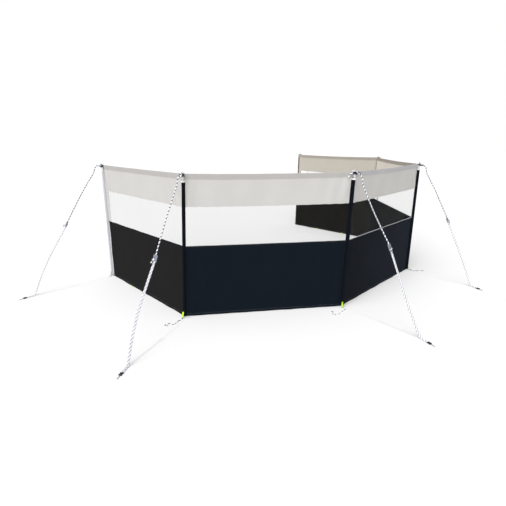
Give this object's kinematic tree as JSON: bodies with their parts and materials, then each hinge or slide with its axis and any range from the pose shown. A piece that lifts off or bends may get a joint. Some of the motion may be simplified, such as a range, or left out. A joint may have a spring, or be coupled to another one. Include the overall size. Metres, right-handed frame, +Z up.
{
  "type": "windbreak",
  "caption": "Free-standing fabric windbreak in a row of bays set out as a horseshoe, with clear windows, steel poles in sleeves and guy ropes.",
  "frame": {"origin": "middle of the ground that the windbreak and its guy ropes cover", "axes": "+Z up; the horseshoe's convex front faces -Y and +X, and it opens towards -X and +Y"},
  "size_m": [5.2928, 6.004, 1.44],
  "materials": {
    "hem_fabric": "woven polyester hem, matt, warm grey",
    "band_fabric": "woven polyester, matt, pale grey cream",
    "clear_window": "clear flexible sheet, slightly wavy",
    "dark_fabric": "woven polyester, matt, near-black navy",
    "sleeve_fabric": "woven polyester, matt, dark navy",
    "end_sleeve_fabric": "woven polyester, matt, silver grey",
    "steel_tube": "zinc-plated tube, satin",
    "black_plastic": "moulded plastic, matt",
    "foot_plastic": "moulded plastic, matt, light grey",
    "rope": "braided cord, pale grey with dark flecks",
    "runner_plastic": "moulded plastic, satin, slate grey",
    "pin_steel": "bare steel wire",
    "lime_webbing": "narrow webbing, lime green",
    "grey_webbing": "narrow webbing, light grey",
    "ring_steel": "round wire ring, zinc-plated",
    "loose_cord": "thin round cord, off-white"
  },
  "bodies": {
    "root": {"top_hem_1": "hem_fabric", "upper_band_1": "band_fabric", "window_1": "clear_window", "lower_panel_1": "dark_fabric", "top_hem_2": "hem_fabric", "upper_band_2": "band_fabric", "window_2": "clear_window", "lower_panel_2": "dark_fabric", "top_hem_3": "hem_fabric", "upper_band_3": "band_fabric", "window_3": "clear_window", "lower_panel_3": "dark_fabric", "top_hem_4": "hem_fabric", "upper_band_4": "band_fabric", "window_4": "clear_window", "lower_panel_4": "dark_fabric", "top_hem_5": "hem_fabric", "upper_band_5": "band_fabric", "window_5": "clear_window", "lower_panel_5": "dark_fabric", "pole_1": "steel_tube", "sleeve_1": "end_sleeve_fabric", "guy_rope_1": "rope", "pole_2": "steel_tube", "sleeve_2": "sleeve_fabric", "guy_rope_2": "rope", "pole_3": "steel_tube", "sleeve_3": "sleeve_fabric", "guy_rope_3": "rope", "pole_4": "steel_tube", "sleeve_4": "sleeve_fabric", "guy_rope_4": "rope", "pole_5": "steel_tube", "sleeve_5": "sleeve_fabric", "guy_rope_5": "rope", "pole_6": "steel_tube", "sleeve_6": "end_sleeve_fabric", "guy_rope_6": "rope", "base_cord_2": "loose_cord", "base_cord_3": "loose_cord", "base_cord_4": "loose_cord", "base_cord_5": "loose_cord", "end_hems": "band_fabric", "pole_caps": "black_plastic", "pole_feet": "foot_plastic", "guy_runners": "runner_plastic", "guy_hooks": "black_plastic", "hook_pins": "pin_steel", "post_tabs": "lime_webbing", "end_tabs": "grey_webbing", "base_rings": "ring_steel", "peg_tabs": "lime_webbing"}
  },
  "joints": []
}
